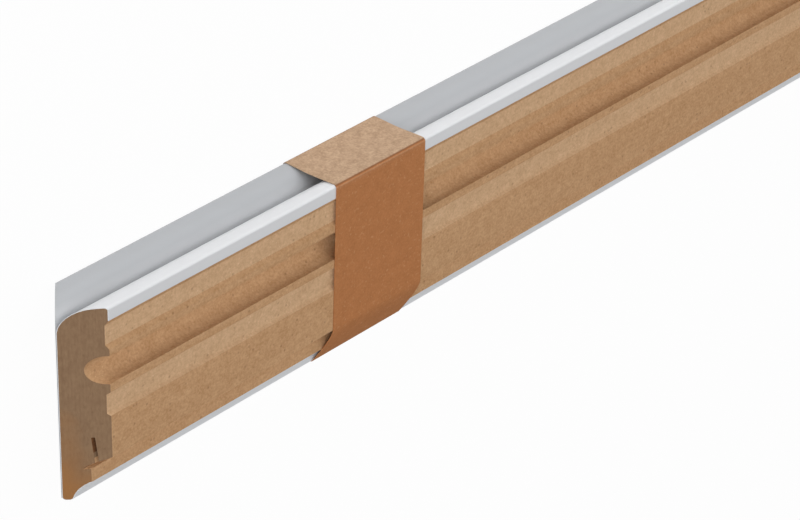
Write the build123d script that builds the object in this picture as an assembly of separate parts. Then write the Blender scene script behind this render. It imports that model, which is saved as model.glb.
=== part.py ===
from build123d import *
import math
import os

# A pair of skirting mouldings packed face to face and tied with paper bands. The pack lies flat on
# the lower moulding's back: length along X with the mitred ends at +X, top edges at -Y, toes at +Y.

# Moulding
length = 2400.0
height = 80.0
thickness = 13.0
mitre_angle = 45.0

# Rounded top edge, which climbs a little from the face to the back
top_radius = 10.5
top_rise = 1.2
back_edge_radius = 1.2

# Shallow relief channels planed into the back
channel_depth = 1.05
upper_channel_top = 74.6
upper_channel_bottom = 63.0
upper_channel_flank = 1.8
lower_channel_top = 45.2
lower_channel_bottom = 35.4
lower_channel_flank = 0.9

# Half-round cable groove
groove_width = 11.6
groove_depth = 6.4
groove_centre = 54.5

# Rebate over the clip, with the thin undercut behind the toe
rebate_top = 17.9
undercut_place = 5.7
undercut_level = 14.1
undercut_gap = 1.0

# Toe, hollowed underneath down to a narrow rounded tip
toe_thickness = 7.6
toe_drop = 5.6
cove_sag = 1.0
tip_width = 2.8
tip_radius = 1.2

# Clip kerf, sawn up from the rebate
kerf_width = 1.0
kerf_depth = 10.6
kerf_place = 9.1
kerf_lean = 4.5

# Paper bands round the pair, whose faces lie a hair apart
face_gap = 0.3
paper_thickness = 0.25
paper_clearance = 0.1
band_width = 50.0
near_band_inset = 129.5
far_band_inset = 129.5


def channel(top, bottom, flank):
    """Outline of a shallow channel in the back, with sloping flanks."""
    floor = thickness - channel_depth
    outside = thickness + 1.0
    return make_face(Polyline(
        (outside, top),
        (thickness, top),
        (floor, top - flank),
        (floor, bottom + flank),
        (thickness, bottom),
        (outside, bottom),
        close=True,
    ))


def cable_groove():
    """Outline of the half-round groove, open at the back."""
    radius = groove_width / 2
    centre = thickness - groove_depth + radius
    mouth = Pos(centre, groove_centre) * Rectangle(
        radius + groove_depth, groove_width, align=(Align.MIN, Align.CENTER)
    )
    return Pos(centre, groove_centre) * Circle(radius) + mouth


def toe_cut():
    """Outline of all that is cut away behind and under the toe."""
    outside = thickness + 1.0
    toe_top = undercut_level - undercut_gap
    heel = (toe_thickness, toe_top - toe_drop)
    tip = (tip_width, 0.0)
    run = Vector(tip[0] - heel[0], tip[1] - heel[1])
    inward = Vector(run.Y, -run.X).normalized()
    hollow = Vector(heel[0] + run.X / 2, heel[1] + run.Y / 2) + inward * cove_sag
    sides = Polyline(
        (tip_width, 0.0),
        (tip_width, -1.0),
        (outside, -1.0),
        (outside, rebate_top),
        (thickness, rebate_top),
        (undercut_place, undercut_level),
        (undercut_place, toe_top),
        (toe_thickness, toe_top),
        heel,
    )
    cove = ThreePointArc(heel, (hollow.X, hollow.Y), tip)
    return make_face([*sides.edges(), cove])


def clip_kerf():
    """Outline of the kerf that takes the wall clip."""
    slope = (rebate_top - undercut_level) / (thickness - undercut_place)
    mouth = undercut_level + slope * (kerf_place - undercut_place)
    overlap = 1.0
    saw_cut = Pos(0, -overlap) * Rectangle(
        kerf_width, kerf_depth + overlap, align=(Align.CENTER, Align.MIN)
    )
    return Pos(kerf_place, mouth) * Rot(0, 0, kerf_lean) * saw_cut


def moulding_section():
    """Section across the moulding: distance from the face along X, height above the toe along Y."""
    climb = math.atan2(top_rise, thickness)
    apex = height + back_edge_radius * (math.tan(climb) + 1 / math.cos(climb) - 1)
    blank = make_face(Polyline(
        (0, 0),
        (thickness, 0),
        (thickness, apex),
        (0, apex - top_rise),
        close=True,
    ))
    blank = fillet(blank.vertices().sort_by_distance((thickness, apex))[0], back_edge_radius)
    blank = fillet(blank.vertices().sort_by_distance((0, apex - top_rise))[0], top_radius)
    section = blank - toe_cut() - cable_groove() - clip_kerf()
    section -= channel(upper_channel_top, upper_channel_bottom, upper_channel_flank)
    section -= channel(lower_channel_top, lower_channel_bottom, lower_channel_flank)
    tip_corners = section.vertices().sort_by(Axis.Y)[:2]
    return fillet(tip_corners, tip_radius)


def end_plane(place):
    """Plane across the pack at a place along X, with the middle of the pair at local x = 0."""
    middle = paper_thickness + paper_clearance + thickness + face_gap / 2
    return Plane(origin=(place, height / 2, middle), x_dir=(0, 0, 1), z_dir=(1, 0, 0))


def mitred_moulding(section):
    """The moulding whose back looks up, its face left longest by the mitre."""
    bar = extrude(end_plane(-length / 2) * section, amount=length)
    lean = math.radians(mitre_angle)
    face_end = end_plane(length / 2).from_local_coords((face_gap / 2, 0, 0))
    cut = Plane(origin=face_end, z_dir=(math.cos(lean), 0, math.sin(lean)))
    return split(bar, bisect_by=cut, keep=Keep.BOTTOM)


def paper_band(section, start):
    """A band drawn tight round both mouldings, from a place along X."""
    pair = section.edges() + mirror(section, about=Plane.YZ).edges()
    wrapped = make_hull(pair)
    inside = offset(wrapped, paper_clearance)
    outside = offset(wrapped, paper_clearance + paper_thickness)
    return extrude(end_plane(start) * (outside - inside), amount=band_width)


section = Pos(face_gap / 2, 0) * moulding_section()
upper_moulding = mitred_moulding(section)
middle_plane = Plane.XY.offset(end_plane(0).origin.Z)
lower_moulding = mirror(upper_moulding, about=middle_plane)
near_band = paper_band(section, length / 2 - near_band_inset - band_width)
far_band = paper_band(section, far_band_inset - length / 2)

os.makedirs("parts", exist_ok=True)
export_step(upper_moulding, "parts/upper_moulding.step")
export_step(lower_moulding, "parts/lower_moulding.step")
export_step(near_band, "parts/near_band.step")
export_step(far_band, "parts/far_band.step")
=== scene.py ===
"""Looks for two coated skirting mouldings, packed face to face and tied with kraft paper bands.

The pack lies flat: length along X with the mitred ends at +X, rounded top edges at -Y, toes at +Y.
Sizes of the pieces are in millimetres, and places in the scene are in metres.
"""

import logging
import math
from abc import ABC, abstractmethod
from dataclasses import dataclass, field
from enum import Enum

import bmesh
import bpy
from mathutils import Matrix, Vector


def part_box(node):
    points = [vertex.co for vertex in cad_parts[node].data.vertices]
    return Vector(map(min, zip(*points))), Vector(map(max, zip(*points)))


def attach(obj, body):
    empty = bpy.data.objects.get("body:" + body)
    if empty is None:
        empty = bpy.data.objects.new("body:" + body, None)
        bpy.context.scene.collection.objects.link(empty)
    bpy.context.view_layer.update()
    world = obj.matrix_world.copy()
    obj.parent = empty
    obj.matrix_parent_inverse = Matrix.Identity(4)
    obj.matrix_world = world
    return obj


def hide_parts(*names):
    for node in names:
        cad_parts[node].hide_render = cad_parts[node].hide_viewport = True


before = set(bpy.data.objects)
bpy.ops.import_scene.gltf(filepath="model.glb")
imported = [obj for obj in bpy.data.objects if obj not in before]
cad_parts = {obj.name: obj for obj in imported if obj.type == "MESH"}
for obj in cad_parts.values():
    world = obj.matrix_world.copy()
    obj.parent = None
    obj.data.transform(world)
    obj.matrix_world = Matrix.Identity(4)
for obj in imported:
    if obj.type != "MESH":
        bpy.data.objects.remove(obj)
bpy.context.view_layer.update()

MM = 0.001
BODY = "root"
log = logging.getLogger("moulding_pack")

Point = tuple[float, float]
Colour = tuple[float, float, float, float]
Tree = bpy.types.NodeTree
Socket = bpy.types.NodeSocket
NodeInput = float | tuple[float, ...] | Socket


def linear(hex_colour: str) -> Colour:
    """Turns an sRGB hex colour to linear light.

    Args:
        hex_colour: A colour such as "#C09871".

    Returns:
        Linear red, green and blue with an alpha of 1.
    """
    channels = [int(hex_colour[start:start + 2], 16) / 255 for start in (1, 3, 5)]
    red, green, blue = (c / 12.92 if c <= 0.04045 else ((c + 0.055) / 1.055) ** 2.4 for c in channels)
    return red, green, blue, 1.0


def scale_for(size_mm: float) -> float:
    """Texture scale that draws features of this size in millimetres."""
    return 1.0 / (size_mm * MM)


def add_node(
    tree: Tree,
    kind: str,
    inputs: dict[str | int, NodeInput] | None = None,
    **settings: object,
) -> bpy.types.Node:
    """Adds a node with its settings and links.

    Args:
        tree: Node tree that gets the node.
        kind: Blender's name of the node type.
        inputs: Value or linked socket for each input, by name or place.
        settings: Properties of the node itself.

    Returns:
        The new node.
    """
    node = tree.nodes.new(kind)
    for name, value in settings.items():
        setattr(node, name, value)
    for key, value in (inputs or {}).items():
        if isinstance(value, Socket):
            tree.links.new(value, node.inputs[key])
        else:
            node.inputs[key].default_value = value
    return node


@dataclass(frozen=True)
class Surface:
    """What a finish's pattern gives the shader: its colour, a tone about 0.5 and its relief."""

    colour: Socket
    tone: Socket
    relief: Socket


@dataclass(frozen=True)
class NoiseLayer:
    """Noise of one size in a pattern."""

    size_mm: float
    share: float = 1.0
    detail: float = 2.0
    stretch: tuple[float, float, float] = (1.0, 1.0, 1.0)
    fineness: float = 0.6

    def drawn(self, tree: Tree, place: Socket) -> Socket:
        """Draws the noise.

        Args:
            tree: Node tree of the material.
            place: Place on the object, in metres.

        Returns:
            Noise about 0.5.
        """
        where = add_node(tree, "ShaderNodeVectorMath", {0: place, 1: self.stretch}, operation="MULTIPLY")
        noise = add_node(tree, "ShaderNodeTexNoise", {
            "Vector": where.outputs["Vector"],
            "Scale": scale_for(self.size_mm),
            "Detail": self.detail,
            "Roughness": self.fineness,
        })
        return noise.outputs[0]


def layered(tree: Tree, place: Socket, layers: tuple[NoiseLayer, ...]) -> Socket:
    """Adds up layers of noise.

    Args:
        tree: Node tree of the material.
        place: Place on the object, in metres.
        layers: The layers, each with its share of the contrast.

    Returns:
        A tone about 0.5.
    """
    total: NodeInput = 0.5 - 0.5 * sum(layer.share for layer in layers)
    for layer in layers:
        weighed = add_node(
            tree,
            "ShaderNodeMath",
            {0: layer.drawn(tree, place), 1: layer.share, 2: total},
            operation="MULTIPLY_ADD",
        )
        total = weighed.outputs[0]
    return total


@dataclass(frozen=True)
class FleckLayer:
    """Flecks scattered over a pattern, with their radius and rim as shares of the spacing."""

    spacing_mm: float
    radius: float
    share: float
    rim: Point = (1.7, 0.2)

    def drawn(self, tree: Tree, place: Socket, strength: float) -> Socket:
        """Draws the flecks.

        Args:
            tree: Node tree of the material.
            place: Place on the object, in metres.
            strength: Value of the mask in the middle of a fleck.

        Returns:
            A mask that is empty between the flecks.
        """
        cells = add_node(tree, "ShaderNodeTexVoronoi", {"Vector": place, "Scale": scale_for(self.spacing_mm)})
        inside = add_node(tree, "ShaderNodeMapRange", {
            "Value": cells.outputs["Distance"],
            "From Min": self.radius * self.rim[0],
            "From Max": self.radius * self.rim[1],
            "To Max": strength,
        })
        picked = add_node(
            tree, "ShaderNodeMath", {0: cells.outputs["Color"], 1: self.share}, operation="LESS_THAN"
        )
        mask = add_node(
            tree, "ShaderNodeMath", {0: inside.outputs[0], 1: picked.outputs[0]}, operation="MULTIPLY"
        )
        return mask.outputs[0]


@dataclass(frozen=True)
class Finish(ABC):
    """A finish that makes its own material."""

    name: str
    ior: float
    gloss: float
    relief_mm: float
    roughness: float
    roughness_swing: float

    @abstractmethod
    def pattern(self, tree: Tree, place: Socket) -> Surface:
        """Draws the finish.

        Args:
            tree: Node tree of the material.
            place: Place on the object, in metres.

        Returns:
            The colour, tone and relief of the surface.
        """

    def material(self) -> bpy.types.Material:
        """Makes the material.

        Returns:
            A material with the pattern on a principled shader, rougher where the tone is paler.
        """
        material = bpy.data.materials.new(self.name)
        material.use_nodes = True
        tree = material.node_tree
        tree.nodes.clear()
        place = add_node(tree, "ShaderNodeTexCoord").outputs["Object"]
        surface = self.pattern(tree, place)
        roughness = add_node(tree, "ShaderNodeMath", {
            0: surface.tone,
            1: self.roughness_swing,
            2: self.roughness - self.roughness_swing / 2,
        }, operation="MULTIPLY_ADD")
        bump = add_node(tree, "ShaderNodeBump", {
            "Height": surface.relief,
            "Strength": 1.0,
            "Distance": self.relief_mm * MM,
        })
        shader = add_node(tree, "ShaderNodeBsdfPrincipled", {
            "Base Color": surface.colour,
            "Roughness": roughness.outputs[0],
            "IOR": self.ior,
            "Specular IOR Level": self.gloss,
            "Normal": bump.outputs["Normal"],
        })
        add_node(tree, "ShaderNodeOutputMaterial", {"Surface": shader.outputs["BSDF"]})
        return material


@dataclass(frozen=True)
class RawMdf(Finish):
    """Medium density fibreboard with no coat on it.

    Pressed fibre is matt and even from afar. Close up it is a felt of pale and dark fibre bundles, with
    dark bark specks, pale splinters, and faint streaks along the length left by the machining.
    """

    pale: str
    dark: str
    bark: str
    splinter: str
    # Real fibre bundles are about 0.2 mm wide. They are drawn at about 1 mm, since finer ones don't show.
    fibre: NoiseLayer = NoiseLayer(1.0, 2.0, 4.0)
    clump: NoiseLayer = NoiseLayer(5.0, 0.8)
    streak: NoiseLayer = NoiseLayer(1.6, 0.5, stretch=(0.013, 1.0, 1.0))
    bark_flecks: FleckLayer = FleckLayer(2.6, 0.16, 0.3)
    splinter_flecks: FleckLayer = FleckLayer(1.8, 0.12, 0.35)
    fleck_strength: float = 0.6

    def board(self, tree: Tree, place: Socket) -> tuple[Socket, Socket]:
        """Colours the board.

        Args:
            tree: Node tree of the material.
            place: Place on the object, in metres.

        Returns:
            The colour and the tone.
        """
        tone = layered(tree, place, (self.fibre, self.clump, self.streak))
        felt = add_node(
            tree, "ShaderNodeMix", {0: tone, 6: linear(self.dark), 7: linear(self.pale)}, data_type="RGBA"
        )
        colour = felt.outputs[2]
        for layer, shade in ((self.bark_flecks, self.bark), (self.splinter_flecks, self.splinter)):
            mask = layer.drawn(tree, place, self.fleck_strength)
            flecked = add_node(
                tree, "ShaderNodeMix", {0: mask, 6: colour, 7: linear(shade)}, data_type="RGBA"
            )
            colour = flecked.outputs[2]
        return colour, tone

    def pattern(self, tree: Tree, place: Socket) -> Surface:
        """Draws the bare board."""
        colour, tone = self.board(tree, place)
        return Surface(colour, tone, tone)


@dataclass(frozen=True, kw_only=True)
class SawnMdf(RawMdf):
    """Fibreboard across a saw cut.

    The blade closes the fibre, so the cut is greyer than the back. It is also drawn darker, a painted
    shade for the end, which gets less light, and it turns a browner colour towards the toe and towards the
    face where the boards meet, a painted shade for the notch under the overhang and the seam between the
    boards.
    """

    cut_shade: str
    cut_shade_start_mm: float = 4.0
    cut_shade_full_mm: float = 34.0
    cut_shade_patch: NoiseLayer = NoiseLayer(14.0, fineness=0.5)
    cut_shade_fade: float = 1.6
    face_level_mm: float = 13.5

    def pattern(self, tree: Tree, place: Socket) -> Surface:
        """Draws the sawn board, with its painted shade towards the toe and the seam.

        Args:
            tree: Node tree of the material.
            place: Place on the object, in metres.

        Returns:
            The colour, tone and relief of the cut.
        """
        colour, tone = self.board(tree, place)
        parts = add_node(tree, "ShaderNodeSeparateXYZ", {0: place})
        above_face = add_node(
            tree, "ShaderNodeMath", {0: parts.outputs["Z"], 1: self.face_level_mm * MM}, operation="SUBTRACT"
        )
        from_face = add_node(tree, "ShaderNodeMath", {0: above_face.outputs[0]}, operation="ABSOLUTE")
        faded = add_node(tree, "ShaderNodeMath", {
            0: from_face.outputs[0],
            1: -self.cut_shade_fade,
            2: parts.outputs["Y"],
        }, operation="MULTIPLY_ADD")
        patch_mm = self.cut_shade_patch.size_mm
        wander = add_node(tree, "ShaderNodeMath", {
            0: self.cut_shade_patch.drawn(tree, place),
            1: 2 * patch_mm * MM,
            2: faded.outputs[0],
        }, operation="MULTIPLY_ADD")
        # Painted shade: the cut turns a browner colour towards the toe and towards the face where the boards
        # meet.
        cut_shade_share = add_node(tree, "ShaderNodeMapRange", {
            "Value": wander.outputs[0],
            "From Min": (self.cut_shade_start_mm + patch_mm) * MM,
            "From Max": (self.cut_shade_full_mm + patch_mm) * MM,
        })
        warm = add_node(tree, "ShaderNodeMix", {
            0: cut_shade_share.outputs[0],
            6: colour,
            7: linear(self.cut_shade),
        }, data_type="RGBA")
        return Surface(warm.outputs[2], tone, tone)


@dataclass(frozen=True)
class WhiteLacquer(Finish):
    """White lacquer rolled on fibreboard in a line.

    It is smooth and satin, with a faint peel and long draw lines along the length, which show only in the
    reflections, and it is a shade cooler where the film is thin. Towards the top of the rounded edge its
    colour can darken to a second colour, a painted shade for the dim band that the light leaves there.
    """

    white: str
    thin: str
    crest_shade: str
    # Levels in Y between which the painted shade over the top of the rounded edge comes in.
    crest_shade_clear_mm: float = -34.5
    crest_shade_full_mm: float = -37.6
    cloud: NoiseLayer = NoiseLayer(26.0, fineness=0.5)
    draw_lines: NoiseLayer = NoiseLayer(0.9, stretch=(0.005, 1.0, 1.0), fineness=0.5)
    peel: NoiseLayer = NoiseLayer(2.2, detail=1.0, fineness=0.5)

    def pattern(self, tree: Tree, place: Socket) -> Surface:
        """Draws the film with its peel and draw lines, and its painted shade over the top of the rounded
        edge.

        Args:
            tree: Node tree of the material.
            place: Place on the object, in metres.

        Returns:
            The colour, tone and relief of the film.
        """
        tone = self.cloud.drawn(tree, place)
        film = add_node(
            tree, "ShaderNodeMix", {0: tone, 6: linear(self.thin), 7: linear(self.white)}, data_type="RGBA"
        )
        # Painted shade: towards the top of the rounded edge the colour darkens.
        crest_shade = add_node(tree, "ShaderNodeMapRange", {
            "Value": add_node(tree, "ShaderNodeSeparateXYZ", {0: place}).outputs["Y"],
            "From Min": self.crest_shade_clear_mm * MM,
            "From Max": self.crest_shade_full_mm * MM,
        })
        colour = add_node(tree, "ShaderNodeMix", {
            0: crest_shade.outputs[0],
            6: film.outputs[2],
            7: linear(self.crest_shade),
        }, data_type="RGBA")
        relief = add_node(tree, "ShaderNodeMath", {
            0: self.draw_lines.drawn(tree, place),
            1: self.peel.drawn(tree, place),
        }, operation="ADD")
        return Surface(colour.outputs[2], tone, relief.outputs[0])


@dataclass(frozen=True)
class KraftPaper(Finish):
    """Brown kraft paper, calendered.

    Its unbleached fibre is a close reddish brown with pale hairs and soft clouds. Where the band crosses
    the top edges it is drawn tan, a painted sheen of the light on its upward face, with a painted highlight
    beside each fold, and its folds carry a darker line of painted shade.
    """

    brown: str
    deep: str
    tan: str
    tan_deep: str
    hair: str
    fold_shade: str
    # Real paper fibre is finer than 0.1 mm. It is drawn at about 1 mm, since finer fibre doesn't show.
    fibre: NoiseLayer = NoiseLayer(0.9, 1.3, 4.0)
    cloud: NoiseLayer = NoiseLayer(4.5, 0.9, 3.0)
    hairs: NoiseLayer = NoiseLayer(1.3, detail=1.0)
    hair_range: Point = (0.6, 0.82)
    hair_strength: float = 0.4

    def pattern(self, tree: Tree, place: Socket) -> Surface:
        """Draws the paper from its fibre, clouds and hairs, with its painted sheen, highlight and shade.

        Args:
            tree: Node tree of the material.
            place: Place on the object, in metres.

        Returns:
            The colour, tone and relief of the paper.
        """
        tone = layered(tree, place, (self.fibre, self.cloud))
        sheet = add_node(
            tree, "ShaderNodeMix", {0: tone, 6: linear(self.deep), 7: linear(self.brown)}, data_type="RGBA"
        )
        sheened = add_node(
            tree, "ShaderNodeMix", {0: tone, 6: linear(self.tan_deep), 7: linear(self.tan)}, data_type="RGBA"
        )
        hairs = add_node(tree, "ShaderNodeMapRange", {
            "Value": self.hairs.drawn(tree, place),
            "From Min": self.hair_range[0],
            "From Max": self.hair_range[1],
            "To Max": self.hair_strength,
        })
        # Painted sheen and shade: a paler tan stands in for the light on the top and for a highlight beside
        # the fold, and a dark colour for the shade in the fold.
        painted_sheen = add_node(tree, "ShaderNodeAttribute", attribute_name="painted_sheen")
        painted_fold_shade = add_node(tree, "ShaderNodeAttribute", attribute_name="painted_fold_shade")
        colour = sheet.outputs[2]
        for mask, shade in (
            (hairs.outputs[0], linear(self.hair)),
            (painted_sheen.outputs["Fac"], sheened.outputs[2]),
            (painted_fold_shade.outputs["Fac"], linear(self.fold_shade)),
        ):
            covered = add_node(tree, "ShaderNodeMix", {0: mask, 6: colour, 7: shade}, data_type="RGBA")
            colour = covered.outputs[2]
        return Surface(colour, tone, tone)


class Coating(Enum):
    """What covers a stretch of a moulding, in the order of its material slots."""

    LACQUER = 0
    SANDED = 1
    MILLED = 2
    SAWN = 3
    # Painted shade: the darkest board, drawn deep in the clip kerf.
    SCORCHED = 4


@dataclass(frozen=True)
class Run:
    """A stretch of the section's outline under one coating."""

    points: list[Point]
    coating: Coating
    curved: bool = False


@dataclass(frozen=True)
class Station:
    """A corner of the outline, with what covers the stretch that starts there."""

    u: float
    v: float
    coating: Coating
    curved: bool


def arc_points(centre: Point, radius: float, start: float, end: float, steps: int) -> list[Point]:
    """Points along an arc.

    Args:
        centre: Centre of the arc.
        radius: Radius of the arc.
        start: Angle of the first point, in degrees.
        end: Angle of the last point, in degrees.
        steps: Number of chords.

    Returns:
        The points, both ends included.
    """
    angles = [math.radians(start + (end - start) * step / steps) for step in range(steps + 1)]
    return [(centre[0] + radius * math.cos(a), centre[1] + radius * math.sin(a)) for a in angles]


def line_points(start: Point, end: Point, steps: int) -> list[Point]:
    """Points along a straight line.

    Args:
        start: First point.
        end: Last point.
        steps: Number of equal parts.

    Returns:
        The points, both ends included.
    """
    shares = [step / steps for step in range(steps + 1)]
    return [(start[0] + (end[0] - start[0]) * s, start[1] + (end[1] - start[1]) * s) for s in shares]


def angle_of(start: Point, end: Point) -> float:
    """Direction from one point to another, in degrees."""
    return math.degrees(math.atan2(end[1] - start[1], end[0] - start[0]))


@dataclass(frozen=True)
class MouldingSection:
    """Section across a moulding, in millimetres: u from the face to the back, v up from the toe."""

    height: float = 80.0
    thickness: float = 13.0
    top_radius: float = 10.5
    top_rise: float = 1.2
    back_edge_radius: float = 1.2
    channel_depth: float = 1.05
    upper_channel: Point = (63.0, 74.6)
    upper_channel_flank: float = 1.8
    lower_channel: Point = (35.4, 45.2)
    lower_channel_flank: float = 0.9
    groove_width: float = 11.6
    groove_depth: float = 6.4
    groove_centre: float = 54.5
    rebate_top: float = 17.9
    undercut_place: float = 5.7
    undercut_level: float = 14.1
    undercut_gap: float = 1.0
    toe_thickness: float = 7.6
    toe_drop: float = 5.6
    cove_sag: float = 1.0
    tip_width: float = 2.8
    tip_radius: float = 1.2
    kerf_width: float = 1.0
    kerf_depth: float = 10.6
    kerf_place: float = 9.1
    kerf_lean: float = 4.5
    kerf_mouth: float = 2.2
    kerf_throat: float = 4.4
    film: float = 0.18
    arris: float = 0.25
    arris_share: float = 0.35
    arris_bends: tuple[float, ...] = (0.0, 0.33, 0.67)
    straight_angle: float = 160.0
    tip_steps: int = 8
    cove_steps: int = 18
    groove_steps: int = 40
    back_edge_steps: int = 12
    top_steps: int = 30

    @property
    def climb(self) -> float:
        """Slope of the top edge, in degrees."""
        return math.degrees(math.atan2(self.top_rise, self.thickness))

    def top_centre(self, radius: float, u: float) -> Point:
        """Centre of an arc that is tangent to the top edge.

        Args:
            radius: Radius of the arc.
            u: Place of the centre across the section.

        Returns:
            The centre.
        """
        lean = math.radians(self.climb)
        apex = self.height + self.back_edge_radius * (math.tan(lean) + 1 / math.cos(lean) - 1)
        return u, apex - (self.thickness - u) * math.tan(lean) - radius / math.cos(lean)

    @property
    def back_edge_centre(self) -> Point:
        """Centre of the small arc between the top edge and the back."""
        return self.top_centre(self.back_edge_radius, self.thickness - self.back_edge_radius)

    @property
    def heel(self) -> Point:
        """Lower corner at the back of the toe."""
        return self.toe_thickness, self.undercut_level - self.undercut_gap - self.toe_drop

    def cove(self) -> tuple[Point, float]:
        """Hollow under the toe.

        Returns:
            The centre and the radius of its arc.
        """
        tip = Vector((self.tip_width, 0.0))
        heel = Vector(self.heel)
        chord = tip - heel
        radius = (chord.length_squared / 4 + self.cove_sag ** 2) / (2 * self.cove_sag)
        outward = Vector((-chord.y, chord.x)).normalized()
        centre = (tip + heel) / 2 + outward * (radius - self.cove_sag)
        return (centre.x, centre.y), radius

    def tip_back_centre(self) -> Point:
        """Centre of the tip's arc on the side of the cove."""
        centre, radius = self.cove()
        reach = (radius + self.tip_radius) ** 2 - (centre[1] - self.tip_radius) ** 2
        return centre[0] - math.sqrt(reach), self.tip_radius

    def toe_runs(self) -> list[Run]:
        """Goes from the face round the tip and up the back of the toe.

        Returns:
            The runs, up to the undercut.
        """
        radius = self.tip_radius
        steps = self.tip_steps
        back_centre = self.tip_back_centre()
        cove_centre, cove_radius = self.cove()
        joint = angle_of(back_centre, cove_centre)
        cove_end = angle_of(cove_centre, self.heel)
        cove = arc_points(cove_centre, cove_radius, joint + 180, cove_end, self.cove_steps)
        toe_top = self.undercut_level - self.undercut_gap
        return [
            Run(arc_points((radius, radius), radius, 180, 270, steps), Coating.LACQUER, True),
            Run([(radius, 0.0), (back_centre[0], 0.0)], Coating.LACQUER),
            Run(arc_points(back_centre, radius, -90, joint, steps), Coating.LACQUER, True),
            Run(cove, Coating.LACQUER, True),
            Run([self.heel, (self.toe_thickness, toe_top)], Coating.SANDED),
            Run([(self.toe_thickness, toe_top), (self.undercut_place, toe_top)], Coating.SANDED),
            # The undercut's inner wall takes the darker sawn board, a painted shade under the overhang.
            Run([(self.undercut_place, toe_top), (self.undercut_place, self.undercut_level)], Coating.SAWN),
        ]

    def rebate_runs(self) -> list[Run]:
        """Goes along the slanted top of the rebate, up and down the clip kerf, and out to the back.

        Returns:
            The runs, with the kerf drawn darker above its mouth and darker still above its throat, a painted
            shade deep in the slot.
        """
        slope = (self.rebate_top - self.undercut_level) / (self.thickness - self.undercut_place)
        start = Vector((self.undercut_place, self.undercut_level))
        mouth = start + Vector((1.0, slope)) * (self.kerf_place - self.undercut_place)
        lean = math.radians(self.kerf_lean)
        up = Vector((-math.sin(lean), math.cos(lean)))
        across = Vector((math.cos(lean), math.sin(lean))) * self.kerf_width / 2
        corners = []
        for side in (-across, across):
            climb = (slope * side.x - side.y) / (up.y - slope * up.x)
            levels = (climb, climb + self.kerf_mouth, climb + self.kerf_throat, self.kerf_depth)
            corners.append([tuple(mouth + side + up * level) for level in levels])
        left, right = corners
        outer = (self.thickness, self.rebate_top)
        return [
            Run([tuple(start), left[0]], Coating.MILLED),
            # Painted shade: the kerf's walls go from sanded to sawn to the darkest board as the slot deepens.
            Run([left[0], left[1]], Coating.SANDED),
            Run([left[1], left[2]], Coating.SAWN),
            Run([left[2], left[3], right[3], right[2]], Coating.SCORCHED),
            Run([right[2], right[1]], Coating.SAWN),
            Run([right[1], right[0]], Coating.SANDED),
            Run([right[0], outer], Coating.MILLED),
        ]

    def channel_runs(self, levels: Point, flank: float, side: Coating) -> list[Run]:
        """Goes round a relief channel in the back.

        Args:
            levels: Lower and upper edge of the channel.
            flank: Height of each sloping flank.
            side: What the flanks show.

        Returns:
            The lower flank, the floor and the upper flank.
        """
        lower, upper = levels
        floor = self.thickness - self.channel_depth
        return [
            Run([(self.thickness, lower), (floor, lower + flank)], side),
            Run([(floor, lower + flank), (floor, upper - flank)], Coating.MILLED),
            Run([(floor, upper - flank), (self.thickness, upper)], side),
        ]

    def groove_runs(self) -> list[Run]:
        """Goes round the half-round cable groove.

        Returns:
            The lower side, the arc and the upper side.
        """
        radius = self.groove_width / 2
        centre = (self.thickness - self.groove_depth + radius, self.groove_centre)
        lower = self.groove_centre - radius
        upper = self.groove_centre + radius
        return [
            Run([(self.thickness, lower), (centre[0], lower)], Coating.SANDED),
            Run(arc_points(centre, radius, 270, 90, self.groove_steps), Coating.SANDED, True),
            Run([(centre[0], upper), (self.thickness, upper)], Coating.SANDED),
        ]

    def crown_runs(self) -> list[Run]:
        """Goes over the rounded top edge, from the back to the face and down to the tip.

        Returns:
            The runs.
        """
        flat = 90 + self.climb
        small = arc_points(self.back_edge_centre, self.back_edge_radius, 0, flat, self.back_edge_steps)
        centre = self.top_centre(self.top_radius, self.top_radius)
        large = arc_points(centre, self.top_radius, flat, 180, self.top_steps)
        return [
            Run([(self.thickness, self.upper_channel[1]), small[0]], Coating.LACQUER),
            Run(small, Coating.LACQUER, True),
            Run([small[-1], large[0]], Coating.LACQUER),
            Run(large, Coating.LACQUER, True),
            Run([large[-1], (0.0, self.tip_radius)], Coating.LACQUER),
        ]

    def land(self, lower: float, upper: float) -> list[Run]:
        """Run up a flat of the back between two levels."""
        return [Run([(self.thickness, lower), (self.thickness, upper)], Coating.SANDED)]

    def outline(self) -> list[Station]:
        """Outline of the section, counter-clockwise from the tip.

        Returns:
            Its stations, with the straight corners eased.
        """
        half_groove = self.groove_width / 2
        runs = [
            *self.toe_runs(),
            *self.rebate_runs(),
            *self.land(self.rebate_top, self.lower_channel[0]),
            *self.channel_runs(self.lower_channel, self.lower_channel_flank, Coating.MILLED),
            *self.land(self.lower_channel[1], self.groove_centre - half_groove),
            *self.groove_runs(),
            *self.land(self.groove_centre + half_groove, self.upper_channel[0]),
            *self.channel_runs(self.upper_channel, self.upper_channel_flank, Coating.SANDED),
            *self.crown_runs(),
        ]
        stations = [Station(*point, run.coating, run.curved) for run in runs for point in run.points[:-1]]
        return self.eased(stations)

    def eased(self, stations: list[Station]) -> list[Station]:
        """Rounds the corners between straight runs by the small arris that machining leaves.

        Args:
            stations: Outline with sharp corners.

        Returns:
            The outline with each such corner as a short curve.
        """
        result = []
        for index, station in enumerate(stations):
            before = stations[index - 1]
            after = stations[(index + 1) % len(stations)]
            corner = Vector((station.u, station.v))
            back = Vector((before.u, before.v)) - corner
            ahead = Vector((after.u, after.v)) - corner
            straight = back.angle(ahead) > math.radians(self.straight_angle)
            if before.curved or station.curved or straight:
                result.append(station)
                continue
            reach = min(self.arris, self.arris_share * back.length, self.arris_share * ahead.length)
            start = corner + back.normalized() * reach
            end = corner + ahead.normalized() * reach
            for share in self.arris_bends:
                bend = start * (1 - share) ** 2 + corner * 2 * share * (1 - share) + end * share ** 2
                coating = before.coating if share < 0.5 else station.coating
                result.append(Station(bend.x, bend.y, coating, True))
            result.append(Station(end.x, end.y, station.coating, False))
        return result


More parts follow.
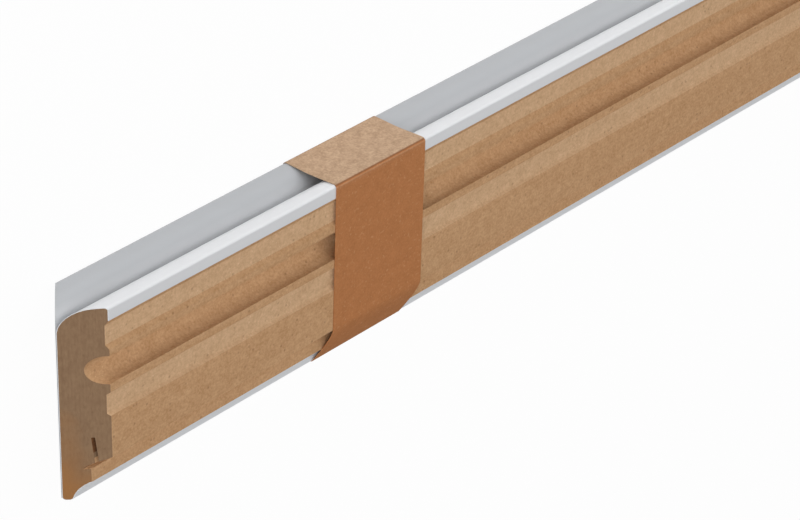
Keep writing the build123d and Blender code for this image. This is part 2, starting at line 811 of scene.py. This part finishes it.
@dataclass
class Skin:
    """Vertices and faces of a piece, gathered before its mesh is made."""

    places: list[Vector] = field(default_factory=list)
    faces: list[tuple[int, ...]] = field(default_factory=list)
    slots: list[int] = field(default_factory=list)
    smooth: list[bool] = field(default_factory=list)

    def add(self, face: tuple[int, ...], smooth: bool, slot: int = 0) -> None:
        """Adds a face.

        Args:
            face: Numbers of its vertices.
            smooth: Whether it is shaded smooth.
            slot: Its material slot.
        """
        self.faces.append(face)
        self.smooth.append(smooth)
        self.slots.append(slot)

    def made(self, name: str, sharp_angle: float) -> bpy.types.Object:
        """Makes a closed mesh object with its normals outwards.

        Args:
            name: Name of the piece.
            sharp_angle: Edges that bend by more than this many degrees stay sharp.

        Returns:
            The object, linked to the scene.
        """
        mesh = bpy.data.meshes.new(name)
        mesh.from_pydata(self.places, [], self.faces)
        mesh.polygons.foreach_set("material_index", self.slots)
        mesh.polygons.foreach_set("use_smooth", self.smooth)
        work = bmesh.new()
        work.from_mesh(mesh)
        bmesh.ops.recalc_face_normals(work, faces=work.faces)
        work.to_mesh(mesh)
        work.free()
        mesh.set_sharp_from_angle(angle=math.radians(sharp_angle))
        piece = bpy.data.objects.new(name, mesh)
        bpy.context.scene.collection.objects.link(piece)
        return piece


class Side(Enum):
    """Which of the two mouldings of the pack."""

    UPPER = 1
    LOWER = -1


@dataclass
class Moulding:
    """One mitred moulding, in the place of its solid."""

    node: str
    side: Side
    section: MouldingSection
    mitre_angle: float = 45.0
    rings: int = 26
    end_margin: float = 2.0
    sharp_angle: float = 35.0
    piece: bpy.types.Object | None = field(default=None, init=False)

    def place(self, u: float, v: float, ring: int) -> Vector:
        """Place of a point of the section on one of the rings along the bar.

        Args:
            u: Distance from the face.
            v: Height above the toe.
            ring: Number of the ring, from the square end to the mitred one.

        Returns:
            The place in metres.
        """
        low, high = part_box(self.node)
        depth = (self.section.thickness - u) * MM
        z = high.z - depth if self.side is Side.UPPER else low.z + depth
        slope = math.tan(math.radians(self.mitre_angle))
        square_end = high.x - self.section.thickness * MM * slope - self.end_margin * MM
        x = low.x + (square_end - low.x) * ring / (self.rings - 2)
        if ring == self.rings - 1:
            x = high.x - u * MM * slope
        return Vector((x, high.y - v * MM, z))

    def film_points(self, stations: list[Station]) -> dict[int, Point]:
        """Points under the lacquer film, seen on a cut end.

        Args:
            stations: Outline of the section.

        Returns:
            The inner point of each station that a lacquered stretch touches, by its number.
        """
        inner = {}
        for index, station in enumerate(stations):
            before = stations[index - 1]
            after = stations[(index + 1) % len(stations)]
            here = Vector((station.u, station.v))
            inward = Vector((0.0, 0.0))
            if before.coating is Coating.LACQUER:
                step = here - Vector((before.u, before.v))
                inward += Vector((-step.y, step.x)).normalized()
            if station.coating is Coating.LACQUER:
                step = Vector((after.u, after.v)) - here
                inward += Vector((-step.y, step.x)).normalized()
            if inward.length:
                under = here + inward.normalized() * self.section.film
                inner[index] = (under.x, under.y)
        return inner

    def add_sides(self, skin: Skin, stations: list[Station], ring: int) -> None:
        """Adds the faces between a ring and the next one.

        Args:
            skin: Skin that gets the faces.
            stations: Outline of the section.
            ring: Number of the ring.
        """
        count = len(stations)
        first, second = ring * count, (ring + 1) * count
        for index, station in enumerate(stations):
            after = (index + 1) % count
            face = (first + index, first + after, second + after, second + index)
            skin.add(face, station.curved, station.coating.value)

    def add_end(self, skin: Skin, stations: list[Station], ring: int) -> None:
        """Closes an end with the sawn board and the edge of the film round it.

        Args:
            skin: Skin that gets the faces.
            stations: Outline of the section.
            ring: Number of the ring at that end.
        """
        count = len(stations)
        first = ring * count
        under = {}
        for index, point in self.film_points(stations).items():
            under[index] = len(skin.places)
            skin.places.append(self.place(*point, ring))
        cap = []
        for index, station in enumerate(stations):
            after = (index + 1) % count
            coated_before = stations[index - 1].coating is Coating.LACQUER
            coated = station.coating is Coating.LACQUER
            if not coated_before:
                cap.append(first + index)
            if index in under:
                cap.append(under[index])
            if coated_before and not coated:
                cap.append(first + index)
            if coated:
                edge = (first + index, first + after, under[after], under[index])
                skin.add(edge, False, Coating.LACQUER.value)
        skin.add(tuple(cap), False, Coating.SAWN.value)

    def build(self) -> None:
        """Makes the bar with a film of lacquer round its sawn ends."""
        stations = self.section.outline()
        skin = Skin()
        for ring in range(self.rings):
            skin.places += [self.place(station.u, station.v, ring) for station in stations]
        for ring in range(self.rings - 1):
            self.add_sides(skin, stations, ring)
        for ring in (0, self.rings - 1):
            self.add_end(skin, stations, ring)
        self.piece = skin.made(f"{self.node}_board", self.sharp_angle)
        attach(self.piece, BODY)
        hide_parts(self.node)

    def dress(self, materials: dict[Coating, bpy.types.Material]) -> None:
        """Gives each stretch of the bar its material.

        Args:
            materials: Material of each coating.
        """
        for coating in Coating:
            self.piece.data.materials.append(materials[coating])
        log.info("%s: %d faces", self.piece.name, len(self.piece.data.polygons))


@dataclass(frozen=True)
class PaperPoint:
    """A point on the inner side of a band's path, with the direction that the paper faces."""

    across: float
    level: float
    facing: float
    # The last two values draw painted sheen, as a paler tan, and painted shade in a fold.
    painted_sheen: float = 0.0
    painted_fold_shade: float = 0.0

    def mirrored(self) -> "PaperPoint":
        """The same point on the other moulding."""
        return PaperPoint(-self.across, self.level, 180 - self.facing, self.painted_sheen, self.painted_fold_shade)

    def moved(self, outward: float) -> Point:
        """The point, moved this far the way that the paper faces."""
        turn = math.radians(self.facing)
        return self.across + outward * math.cos(turn), self.level + outward * math.sin(turn)


@dataclass
class PaperBand:
    """A strip of paper drawn round the pair, its end lapped and glued under the lower moulding's toe."""

    node: str
    section: MouldingSection
    paper: float = 0.25
    clearance: float = 0.1
    bend_start: float = 18.6
    bend_level: float = 15.0
    sag: float = 0.35
    lap_start: float = 4.0
    lap_length: float = 10.0
    glue: float = 0.02
    skew: float = 1.4
    # Places and reaches round the fold are shares of its quarter turn, from the top to the back.
    # The fold gets a line of painted shade, the painted sheen of the top fading off, and a painted highlight.
    fold_shade_place: float = 0.45
    fold_shade_reach: float = 0.25
    sheen_end: float = 0.6
    sheen_fade: float = 0.2
    glint_place: float = 0.85
    glint_reach: float = 0.2
    glint_strength: float = 0.4
    columns: int = 10
    top_steps: int = 16
    fold_steps: int = 10
    back_steps: int = 40
    slant_steps: int = 44
    tip_steps: int = 12
    bottom_steps: int = 4
    sharp_angle: float = 40.0
    piece: bpy.types.Object | None = field(default=None, init=False)

    @property
    def back(self) -> float:
        """Distance from the middle of the pack to the paper over a back."""
        low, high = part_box(self.node)
        return (high.z - low.z) / MM / 2 - self.paper

    @property
    def fold_radius(self) -> float:
        """Radius of the fold's inner side."""
        return self.section.back_edge_radius + self.clearance

    @property
    def fold_centre(self) -> Point:
        """Centre of the fold, from the middle of the pack."""
        return self.from_middle(self.section.back_edge_centre)

    def from_middle(self, point: Point) -> Point:
        """The place of a point of the section, from the middle of the pack."""
        return point[0] + self.back - self.clearance - self.section.thickness, point[1]

    def top_path(self) -> list[PaperPoint]:
        """Path from the middle of the top to the fold.

        Returns:
            The points, drawn tan by painted sheen and sagging a little towards the middle.
        """
        span, centre_level = self.fold_centre
        level = centre_level + self.fold_radius
        path = []
        for across, _ in line_points((0.0, level), (span, level), self.top_steps)[:-1]:
            dip = self.sag * math.cos(math.pi / 2 * across / span) ** 2
            path.append(PaperPoint(across, level - dip, 90.0, painted_sheen=1.0))
        return path

    def fold_path(self) -> list[PaperPoint]:
        """Path round the fold between the top and the back.

        Returns:
            The points, with the painted sheen fading off, a line of painted shade and a painted highlight
            beside it.
        """
        path = []
        for step, point in enumerate(arc_points(self.fold_centre, self.fold_radius, 90, 0, self.fold_steps)):
            share = step / self.fold_steps
            fold_shade = max(0.0, 1 - abs(share - self.fold_shade_place) / self.fold_shade_reach)
            sheened = max(0.0, min(1.0, (self.sheen_end - share) / self.sheen_fade))
            glint = self.glint_strength * max(0.0, 1 - abs(share - self.glint_place) / self.glint_reach)
            path.append(PaperPoint(*point, 90 - 90 * share, painted_sheen=sheened + glint, painted_fold_shade=fold_shade))
        return path

    def slant_path(self, leave: Vector, ease: Vector, land: Vector) -> list[PaperPoint]:
        """Path from the back to the tip, bent softly over the rebate.

        Args:
            leave: Where the paper leaves the back.
            ease: Corner that it is drawn towards.
            land: Where it lands on the tip.

        Returns:
            The points after the first.
        """
        path = []
        for step in range(1, self.slant_steps + 1):
            share = step / self.slant_steps
            point = leave * (1 - share) ** 2 + ease * 2 * share * (1 - share) + land * share ** 2
            ahead = (ease - leave) * (1 - share) + (land - ease) * share
            path.append(PaperPoint(point.x, point.y, math.degrees(math.atan2(ahead.y, ahead.x)) + 90))
        return path

    def half_path(self) -> list[PaperPoint]:
        """Path over the upper moulding, from the middle of the top to the middle of the bottom.

        Returns:
            The points of the path.
        """
        tip = self.from_middle(self.section.tip_back_centre())
        tip_radius = self.section.tip_radius + self.clearance
        corner = (self.back, self.bend_level)
        touch = math.degrees(math.asin(tip_radius / math.dist(corner, tip)))
        turn = angle_of(corner, tip) + touch + 90
        tip_arc = arc_points(tip, tip_radius, turn, -90, self.tip_steps)

        fold_end = (self.back, self.fold_centre[1])
        leave = (self.back, self.bend_start)
        path = self.top_path() + self.fold_path()
        path += [PaperPoint(*point, 0.0) for point in line_points(fold_end, leave, self.back_steps)[1:]]
        path += self.slant_path(Vector(leave), Vector(corner), Vector(tip_arc[0]))
        for step, point in enumerate(tip_arc[1:], start=1):
            path.append(PaperPoint(*point, turn + (-90 - turn) * step / self.tip_steps))
        bottom = line_points(tip_arc[-1], (0.0, tip_arc[-1][1]), self.bottom_steps)
        path += [PaperPoint(*point, -90.0) for point in bottom[1:]]
        return path

    def strip(self) -> list[tuple[PaperPoint, float]]:
        """The whole strip from its glued start to its lapped end.

        Returns:
            Each point of the path, with how far it is lifted off the layer below.
        """
        upper = self.half_path()
        lower = [point.mirrored() for point in reversed(upper)]
        loop = upper[:-1] + lower[:-1]
        slant_start = len(upper) - 1 + self.bottom_steps + self.tip_steps
        start = slant_start
        while math.dist(loop[start].moved(0), loop[slant_start].moved(0)) < self.lap_start:
            start += 1
        turned = loop[start:] + loop[:start]
        strip = [(point, 0.0) for point in turned]
        lift = self.paper + self.glue
        ramp = start - slant_start
        for step in range(ramp):
            place = len(strip) - ramp + step
            strip[place] = (strip[place][0], lift * (step + 1) / (ramp + 1))
        for point in turned:
            strip.append((point, lift))
            if math.dist(point.moved(0), turned[0].moved(0)) > self.lap_length:
                break
        return strip

    def add_faces(self, skin: Skin, rows: int) -> None:
        """Adds the two sides of the sheet and its edges.

        Args:
            skin: Skin that has the places of the inner side and then of the outer one.
            rows: Number of rows of places on a side.
        """
        wide = self.columns + 1
        outer = rows * wide
        for row in range(rows - 1):
            for column in range(self.columns):
                first = row * wide + column
                quad = (first, first + 1, first + wide + 1, first + wide)
                skin.add(quad, True)
                skin.add(tuple(outer + corner for corner in reversed(quad)), True)
            for edge in (row * wide, row * wide + self.columns):
                skin.add((edge, edge + wide, outer + edge + wide, outer + edge), True)
        for row in (0, rows - 1):
            for column in range(self.columns):
                first = row * wide + column
                skin.add((first, first + 1, outer + first + 1, outer + first), True)

    def build(self) -> None:
        """Makes the strip as a closed sheet, with its painted sheen, highlight and fold shade at each point.
        """
        low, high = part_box(self.node)
        middle = (low.z + high.z) / 2
        toe_level = high.y - (self.paper + self.clearance) * MM
        strip = self.strip()
        skin = Skin()
        wear: dict[str, list[float]] = {"painted_sheen": [], "painted_fold_shade": []}
        for layer in (0.0, self.paper):
            for point, lift in strip:
                across, level = point.moved(lift + layer)
                lean = -self.skew * level / self.section.height
                for column in range(self.columns + 1):
                    x = low.x + (high.x - low.x) * column / self.columns + lean * MM
                    skin.places.append(Vector((x, toe_level - level * MM, middle + across * MM)))
                    wear["painted_sheen"].append(point.painted_sheen)
                    wear["painted_fold_shade"].append(point.painted_fold_shade)
        self.add_faces(skin, len(strip))
        self.piece = skin.made(f"{self.node}_strip", self.sharp_angle)
        for name, values in wear.items():
            self.piece.data.attributes.new(name, "FLOAT", "POINT").data.foreach_set("value", values)
        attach(self.piece, BODY)
        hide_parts(self.node)

    def dress(self, material: bpy.types.Material) -> None:
        """Gives the strip its paper.

        Args:
            material: The paper.
        """
        self.piece.data.materials.append(material)
        log.info("%s: %d faces", self.piece.name, len(self.piece.data.polygons))


@dataclass(frozen=True)
class SoftLamp:
    """A rectangular soft lamp, with places in metres, that glossy surfaces may mirror."""

    name: str
    place: tuple[float, float, float]
    aim: tuple[float, float, float]
    size: Point
    watts: float
    mirrored: bool = True

    def build(self) -> None:
        """Hangs the lamp with its long side along X."""
        light = bpy.data.lights.new(self.name, "AREA")
        light.shape = "RECTANGLE"
        light.size, light.size_y = self.size
        light.energy = self.watts
        lamp = bpy.data.objects.new(self.name, light)
        back = (Vector(self.place) - Vector(self.aim)).normalized()
        side = (Vector((1.0, 0.0, 0.0)) - back * back.x).normalized()
        turn = Matrix((side, back.cross(side), back)).transposed()
        lamp.matrix_world = Matrix.Translation(self.place) @ turn.to_4x4()
        lamp.visible_camera = False
        lamp.visible_glossy = self.mirrored
        bpy.context.scene.collection.objects.link(lamp)


@dataclass
class Studio:
    """Pale floor, white surround, soft lamps and the camera."""

    ambient: float = 0.19
    floor_size: float = 14.0
    floor_drop: float = 0.0002
    floor_colour: str = "#D8D8D8"
    floor_shade: str = "#D2D2D2"
    floor_grain: NoiseLayer = NoiseLayer(3.0, fineness=0.5)
    floor_white: float = 0.97
    lens: float = 159.58
    sensor: float = 36.0
    camera_place: tuple[float, float, float] = (1.91867, -0.67979, 0.78603)
    camera_aim: tuple[float, float, float] = (1.02863, 0.01034, 0.02370)
    upright: tuple[float, float, float] = (0.0, -1.0, 0.0)
    camera_roll: float = 1.14
    lamps: tuple[SoftLamp, ...] = (
        SoftLamp("overhead_softbox", (1.0, -0.81, 1.59), (1.0, 0.0, 0.0), (5.6, 1.0), 27.0),
        SoftLamp("end_softbox", (8.0, 0.0, 4.6), (1.05, 0.0, 0.0), (4.0, 4.0), 270.0),
        SoftLamp("low_strip", (0.1, -0.25, 0.011), (0.1, 0.0, 0.011), (3.2, 0.018), 2.2, mirrored=False),
    )

    def seen_directly(self, tree: Tree) -> Socket:
        """Finds the rays that see the surround itself.

        Args:
            tree: Node tree that gets the nodes.

        Returns:
            1 for camera, glossy and transmission rays, and 0 for the light on the object.
        """
        rays = add_node(tree, "ShaderNodeLightPath")
        seen = rays.outputs["Is Camera Ray"]
        for name in ("Is Glossy Ray", "Is Transmission Ray"):
            either = add_node(tree, "ShaderNodeMath", {0: seen, 1: rays.outputs[name]}, operation="MAXIMUM")
            seen = either.outputs[0]
        return seen

    def build_surround(self) -> None:
        """Makes a dim even surround that shows as white."""
        world = bpy.data.worlds.new("surround")
        bpy.context.scene.world = world
        world.use_nodes = True
        tree = world.node_tree
        tree.nodes.clear()
        dim = add_node(tree, "ShaderNodeBackground", {"Color": linear("#FFFFFF"), "Strength": self.ambient})
        white = add_node(tree, "ShaderNodeBackground", {"Color": linear("#FFFFFF"), "Strength": 1.0})
        mixed = add_node(
            tree,
            "ShaderNodeMixShader",
            {0: self.seen_directly(tree), 1: dim.outputs[0], 2: white.outputs[0]},
        )
        add_node(tree, "ShaderNodeOutputWorld", {"Surface": mixed.outputs[0]})

    def floor_material(self) -> bpy.types.Material:
        """Matt pale floor, which shows white apart from a faint shadow.

        Returns:
            The material.
        """
        material = bpy.data.materials.new("matt pale floor")
        material.use_nodes = True
        tree = material.node_tree
        tree.nodes.clear()
        place = add_node(tree, "ShaderNodeTexCoord").outputs["Object"]
        colour = add_node(tree, "ShaderNodeMix", {
            0: self.floor_grain.drawn(tree, place),
            6: linear(self.floor_shade),
            7: linear(self.floor_colour),
        }, data_type="RGBA")
        matt = add_node(tree, "ShaderNodeBsdfDiffuse", {"Color": colour.outputs[2]})
        white = add_node(tree, "ShaderNodeEmission", {"Color": linear("#FFFFFF"), "Strength": 1.0})
        share = add_node(
            tree, "ShaderNodeMath", {0: self.seen_directly(tree), 1: self.floor_white}, operation="MULTIPLY"
        )
        mixed = add_node(
            tree, "ShaderNodeMixShader", {0: share.outputs[0], 1: matt.outputs[0], 2: white.outputs[0]}
        )
        add_node(tree, "ShaderNodeOutputMaterial", {"Surface": mixed.outputs[0]})
        return material

    def build_floor(self) -> None:
        """Lays the floor a hair under the pack."""
        half = self.floor_size / 2
        corners = [(-half, -half), (half, -half), (half, half), (-half, half)]
        mesh = bpy.data.meshes.new("floor")
        mesh.from_pydata([(x, y, -self.floor_drop) for x, y in corners], [], [(0, 1, 2, 3)])
        mesh.materials.append(self.floor_material())
        floor = bpy.data.objects.new("floor", mesh)
        bpy.context.scene.collection.objects.link(floor)

    def build_camera(self) -> None:
        """Sets the camera, which looks down on the lying pack with its top edges upwards in the picture."""
        data = bpy.data.cameras.new("camera")
        data.lens = self.lens
        data.sensor_width = self.sensor
        data.sensor_fit = "HORIZONTAL"
        back = (Vector(self.camera_place) - Vector(self.camera_aim)).normalized()
        level = Vector(self.upright).cross(back).normalized()
        turn = Matrix((level, back.cross(level), back)).transposed().to_4x4()
        roll = Matrix.Rotation(math.radians(self.camera_roll), 4, "Z")
        camera = bpy.data.objects.new("camera", data)
        camera.matrix_world = Matrix.Translation(self.camera_place) @ turn @ roll
        bpy.context.scene.collection.objects.link(camera)
        bpy.context.scene.camera = camera

    def build(self) -> None:
        """Sets up everything round the pack."""
        bpy.context.scene.view_settings.view_transform = "Standard"
        self.build_surround()
        self.build_floor()
        for lamp in self.lamps:
            lamp.build()
        self.build_camera()


MDF_FINISHES: dict[Coating, Finish] = {
    Coating.LACQUER: WhiteLacquer(
        "white lacquer, rolled", ior=1.5, gloss=0.5, relief_mm=0.006, roughness=0.38, roughness_swing=0.12,
        white="#D9DADC", thin="#D3D5D9", crest_shade="#D9DADC",
    ),
    Coating.SANDED: RawMdf(
        "raw MDF, sanded", ior=1.5, gloss=0.2, relief_mm=0.06, roughness=0.85, roughness_swing=0.12,
        pale="#CFA67E", dark="#B2875D", bark="#80583A", splinter="#DEBC94",
    ),
    Coating.MILLED: RawMdf(
        "raw MDF, milled", ior=1.5, gloss=0.2, relief_mm=0.07, roughness=0.85, roughness_swing=0.12,
        pale="#DBB690", dark="#C09A74", bark="#8E6A48", splinter="#ECD0AE",
    ),
    # The sawn colours are drawn darker than the back, a painted shade for the end, which gets less light.
    Coating.SAWN: SawnMdf(
        "raw MDF, sawn", ior=1.5, gloss=0.2, relief_mm=0.04, roughness=0.85, roughness_swing=0.1,
        pale="#8F7459", dark="#7C6048", bark="#62462F", splinter="#A08160", cut_shade="#9A6C41",
        fibre=NoiseLayer(0.8, 1.6, 4.0, (1.0, 0.35, 1.0)),
        streak=NoiseLayer(0.9, 0.8, stretch=(1.0, 0.03, 1.0)),
        fleck_strength=0.3,
    ),
    # Painted shade deep in the clip kerf.
    Coating.SCORCHED: RawMdf(
        "raw MDF, kerf in painted shade",
        ior=1.5, gloss=0.2, relief_mm=0.04, roughness=0.85, roughness_swing=0.12,
        pale="#7A5030", dark="#5A3820", bark="#45291A", splinter="#8A6038",
    ),
}
# Painted shade: the lower moulding has the same white lacquer as the upper one, drawn greyer all over for the
# shade it lies in, and greyer still over the top of its rounded edge.
SHADED_LOWER_LACQUER = WhiteLacquer(
    "white lacquer, greyed as painted shade", ior=1.5, gloss=0.5, relief_mm=0.006, roughness=0.38, roughness_swing=0.12,
    white="#BBBCBE", thin="#B7B9BC", crest_shade="#AAACAF",
)
# The tan colours draw the painted sheen over the top edges, and the darkest colour the painted shade in the
# folds.
KRAFT = KraftPaper(
    "kraft paper, calendered", ior=1.5, gloss=0.04, relief_mm=0.02, roughness=0.85, roughness_swing=0.1,
    brown="#C38456", deep="#AA7046", tan="#CEB093", tan_deep="#977A61", hair="#D6A67A", fold_shade="#7A4A2A",
)


def main() -> None:
    """Builds and dresses the mouldings and the bands, then the studio."""
    logging.basicConfig(level=logging.INFO, format="%(name)s: %(message)s")
    section = MouldingSection()
    mdf = {coating: finish.material() for coating, finish in MDF_FINISHES.items()}
    # The lower moulding takes the lacquer with its painted shade.
    with_shaded_lacquer = {**mdf, Coating.LACQUER: SHADED_LOWER_LACQUER.material()}
    for moulding, materials in (
        (Moulding("upper_moulding", Side.UPPER, section), mdf),
        (Moulding("lower_moulding", Side.LOWER, section), with_shaded_lacquer),
    ):
        moulding.build()
        moulding.dress(materials)
    kraft = KRAFT.material()
    for node in ("near_band", "far_band"):
        band = PaperBand(node, section)
        band.build()
        band.dress(kraft)
    Studio().build()


if __name__ == "__main__":
    main()
